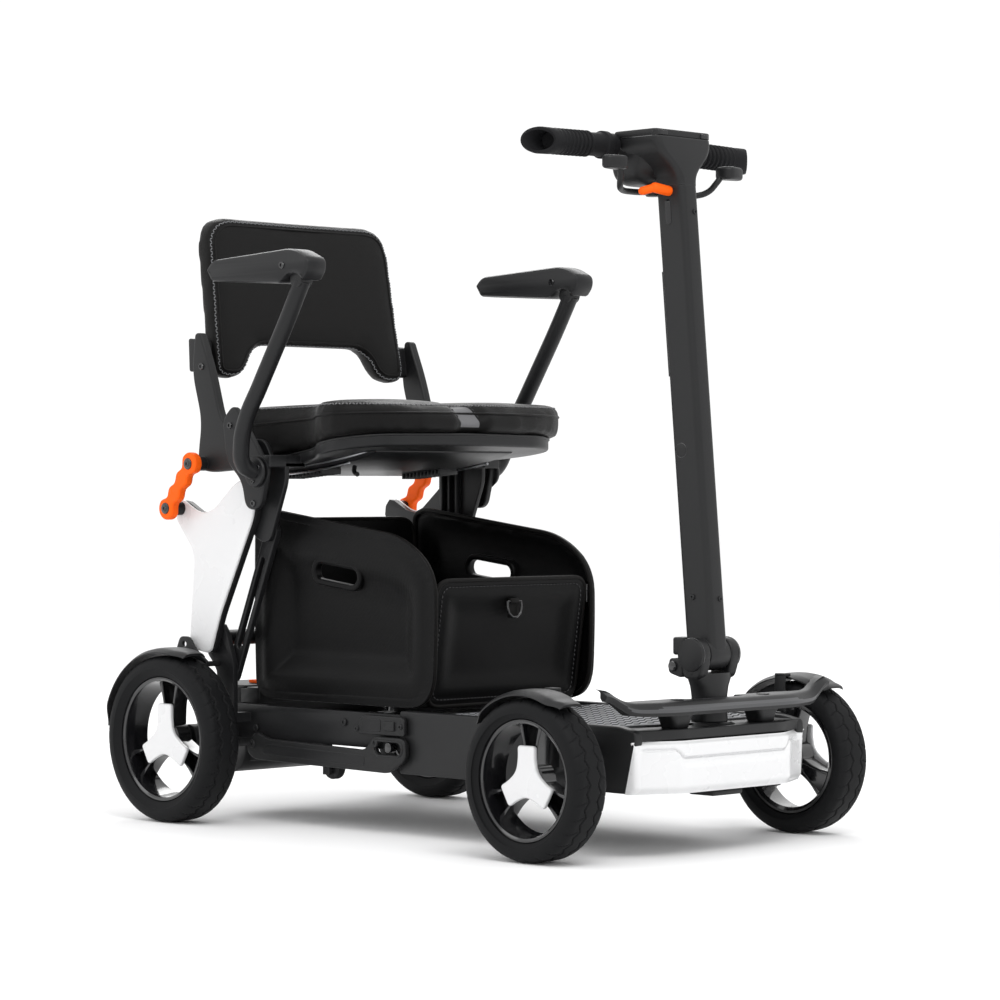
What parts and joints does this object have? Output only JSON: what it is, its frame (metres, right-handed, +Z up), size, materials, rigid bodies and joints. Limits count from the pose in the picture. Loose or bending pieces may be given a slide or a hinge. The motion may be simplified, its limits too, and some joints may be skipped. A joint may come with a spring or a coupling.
{
  "type": "mobility scooter",
  "caption": "Folding four-wheel mobility scooter with a tiller, padded seat, flip-up armrests and an open cargo bag under the seat.",
  "frame": {"origin": "on the floor, below the middle of the scooter's box", "axes": "+X forward, +Y to the rider's left, +Z up"},
  "size_m": [0.8778, 0.528, 0.861],
  "materials": {
    "charcoal_plastic": "finely textured moulded plastic",
    "dark_paint": "satin powder coat",
    "tyre_rubber": "solid charcoal rubber",
    "gloss_black": "glossy black rim",
    "white_panel": "glossy white panel",
    "orange_plastic": "stippled orange plastic",
    "grey_mat": "ribbed grey rubber mat",
    "upholstery": "black leathercloth",
    "bag_cloth": "black moulded textile",
    "grip_rubber": "soft black rubber"
  },
  "bodies": {
    "chassis": {"deck_frame": "charcoal_plastic", "deck_mat": "grey_mat", "front_bumper": "white_panel", "foot_bar": "charcoal_plastic", "front_axle_beam": "dark_paint", "rear_frame": "dark_paint", "battery_box": "charcoal_plastic", "rear_axle": "dark_paint", "cargo_tub": "bag_cloth", "cargo_collar": "bag_cloth", "side_link_left": "charcoal_plastic", "side_link_right": "charcoal_plastic", "chassis_latch_left": "charcoal_plastic", "chassis_latch_right": "charcoal_plastic", "rear_fender_left": "charcoal_plastic", "rear_fender_right": "charcoal_plastic"},
    "battery_tab": {"battery_release_tab": "orange_plastic"},
    "steering": {"steering_stem": "charcoal_plastic"},
    "tie_rod": {"tie_rod": "dark_paint"},
    "tiller": {"tiller_column": "charcoal_plastic", "tiller_head": "charcoal_plastic", "console_panel": "charcoal_plastic", "grip_left": "grip_rubber", "grip_right": "grip_rubber"},
    "throttle": {"throttle_lever": "charcoal_plastic"},
    "fold_release": {"fold_release_lever": "orange_plastic"},
    "hinge_latch": {"hinge_latch": "charcoal_plastic"},
    "legs": {"leg_frame": "dark_paint", "leg_cover_left": "white_panel", "leg_cover_right": "white_panel"},
    "seat": {"seat_frame": "dark_paint", "seat_cushion": "upholstery"},
    "backrest": {"backrest_pad": "upholstery", "backrest_frame": "charcoal_plastic"},
    "knuckle_left": {"knuckle_left": "dark_paint", "front_fender_left": "charcoal_plastic"},
    "front_wheel_left": {"tyre_front_left": "tyre_rubber", "rim_front_left": "gloss_black", "hub_cap_front_left": "white_panel"},
    "rear_wheel_left": {"tyre_rear_left": "tyre_rubber", "rim_rear_left": "gloss_black", "hub_cap_rear_left": "white_panel"},
    "roller_left": {"anti_tip_roller_left": "dark_paint"},
    "strut_left": {"strut_left": "dark_paint"},
    "fold_link_left": {"fold_link_left": "orange_plastic"},
    "armrest_left": {"armrest_tube_left": "dark_paint", "armrest_pad_left": "charcoal_plastic"},
    "knuckle_right": {"knuckle_right": "dark_paint", "front_fender_right": "charcoal_plastic"},
    "front_wheel_right": {"tyre_front_right": "tyre_rubber", "rim_front_right": "gloss_black", "hub_cap_front_right": "white_panel"},
    "rear_wheel_right": {"tyre_rear_right": "tyre_rubber", "rim_rear_right": "gloss_black", "hub_cap_rear_right": "white_panel"},
    "roller_right": {"anti_tip_roller_right": "dark_paint"},
    "strut_right": {"strut_right": "dark_paint"},
    "fold_link_right": {"fold_link_right": "orange_plastic"},
    "armrest_right": {"armrest_tube_right": "dark_paint", "armrest_pad_right": "charcoal_plastic"}
  },
  "joints": [
    {"name": "steering", "type": "hinge", "parent": "chassis", "child": "steering", "pos_m": [0.39292, 0, 0.17], "axis": [0, 0, 1], "range_deg": [-22, 22]},
    {"name": "tie_rod_pivot", "type": "hinge", "parent": "steering", "child": "tie_rod", "pos_m": [0.35292, 0, 0.092], "axis": [0, 0, 1], "range_deg": [-22, 22]},
    {"name": "tiller_fold", "type": "hinge", "parent": "steering", "child": "tiller", "pos_m": [0.39292, 0, 0.234], "axis": [0, 1, 0], "range_deg": [-40, 0]},
    {"name": "throttle_rock", "type": "hinge", "parent": "tiller", "child": "throttle", "pos_m": [0.30292, 0, 0.789], "axis": [0, 0, 1], "range_deg": [-12, 12], "stiffness_Nm_per_rad": 0.6},
    {"name": "fold_release_pull", "type": "hinge", "parent": "tiller", "child": "fold_release", "pos_m": [0.34192, -0.026, 0.788], "axis": [0, 1, 0], "range_deg": [-18, 0], "stiffness_Nm_per_rad": 0.4},
    {"name": "hinge_latch_press", "type": "slide", "parent": "tiller", "child": "hinge_latch", "axis": [0, 0, -1], "range_m": [0, 0.006], "stiffness_N_per_m": 350},
    {"name": "battery_tab_lift", "type": "slide", "parent": "chassis", "child": "battery_tab", "axis": [0, 0, 1], "range_m": [0, 0.006], "stiffness_N_per_m": 350},
    {"name": "steer_left", "type": "hinge", "parent": "chassis", "child": "knuckle_left", "pos_m": [0.33292, 0.186, 0.095], "axis": [0, 0, 1], "range_deg": [-22, 22]},
    {"name": "front_wheel_spin_left", "type": "hinge", "parent": "knuckle_left", "child": "front_wheel_left", "pos_m": [0.33292, 0.236, 0.095], "axis": [0, 1, 0], "continuous": true},
    {"name": "rear_wheel_spin_left", "type": "hinge", "parent": "chassis", "child": "rear_wheel_left", "pos_m": [-0.32208, 0.237, 0.1075], "axis": [0, 1, 0], "continuous": true},
    {"name": "roller_spin_left", "type": "hinge", "parent": "chassis", "child": "roller_left", "pos_m": [-0.13408, 0.125, 0.0746], "axis": [0, 1, 0], "continuous": true},
    {"name": "armrest_flip_left", "type": "hinge", "parent": "seat", "child": "armrest_left", "pos_m": [-0.19108, 0.24, 0.452], "axis": [0, -1, 0], "range_deg": [0, 70]},
    {"name": "strut_swing_left", "type": "hinge", "parent": "chassis", "child": "strut_left", "pos_m": [-0.28508, 0.165, 0.19], "axis": [0, 1, 0], "range_deg": [0, 55]},
    {"name": "fold_link_swing_left", "type": "hinge", "parent": "legs", "child": "fold_link_left", "pos_m": [-0.35708, 0.215, 0.405], "axis": [0, 1, 0], "range_deg": [-33, 0]},
    {"name": "steer_right", "type": "hinge", "parent": "chassis", "child": "knuckle_right", "pos_m": [0.33292, -0.186, 0.095], "axis": [0, 0, 1], "range_deg": [-22, 22]},
    {"name": "front_wheel_spin_right", "type": "hinge", "parent": "knuckle_right", "child": "front_wheel_right", "pos_m": [0.33292, -0.236, 0.095], "axis": [0, 1, 0], "continuous": true},
    {"name": "rear_wheel_spin_right", "type": "hinge", "parent": "chassis", "child": "rear_wheel_right", "pos_m": [-0.32208, -0.237, 0.1075], "axis": [0, 1, 0], "continuous": true},
    {"name": "roller_spin_right", "type": "hinge", "parent": "chassis", "child": "roller_right", "pos_m": [-0.13408, -0.125, 0.0746], "axis": [0, 1, 0], "continuous": true},
    {"name": "armrest_flip_right", "type": "hinge", "parent": "seat", "child": "armrest_right", "pos_m": [-0.19108, -0.24, 0.452], "axis": [0, -1, 0], "range_deg": [0, 70]},
    {"name": "strut_swing_right", "type": "hinge", "parent": "chassis", "child": "strut_right", "pos_m": [-0.28508, -0.165, 0.19], "axis": [0, 1, 0], "range_deg": [0, 55]},
    {"name": "fold_link_swing_right", "type": "hinge", "parent": "legs", "child": "fold_link_right", "pos_m": [-0.35708, -0.215, 0.405], "axis": [0, 1, 0], "range_deg": [-33, 0]},
    {"name": "seat_fold", "type": "hinge", "parent": "chassis", "child": "legs", "pos_m": [-0.30708, 0, 0.236], "axis": [0, 1, 0], "range_deg": [0, 55], "deforming": ["cargo_collar"]},
    {"name": "seat_level", "type": "hinge", "parent": "legs", "child": "seat", "pos_m": [-0.22908, 0, 0.422], "axis": [0, 1, 0], "range_deg": [-55, 0]},
    {"name": "backrest_fold", "type": "hinge", "parent": "seat", "child": "backrest", "pos_m": [-0.22808, 0, 0.473], "axis": [0, 1, 0], "range_deg": [0, 80]}
  ],
  "couplings": [
    {"joint": "tie_rod_pivot", "follows": "steering", "ratio": -1},
    {"joint": "seat_level", "follows": "seat_fold", "ratio": -1},
    {"joint": "backrest_fold", "follows": "seat_fold", "ratio": 1.4545},
    {"joint": "steer_left", "follows": "steering", "ratio": 1},
    {"joint": "strut_swing_left", "follows": "seat_fold", "ratio": 1},
    {"joint": "fold_link_swing_left", "follows": "seat_fold", "ratio": -0.593},
    {"joint": "steer_right", "follows": "steering", "ratio": 1},
    {"joint": "strut_swing_right", "follows": "seat_fold", "ratio": 1},
    {"joint": "fold_link_swing_right", "follows": "seat_fold", "ratio": -0.593}
  ]
}
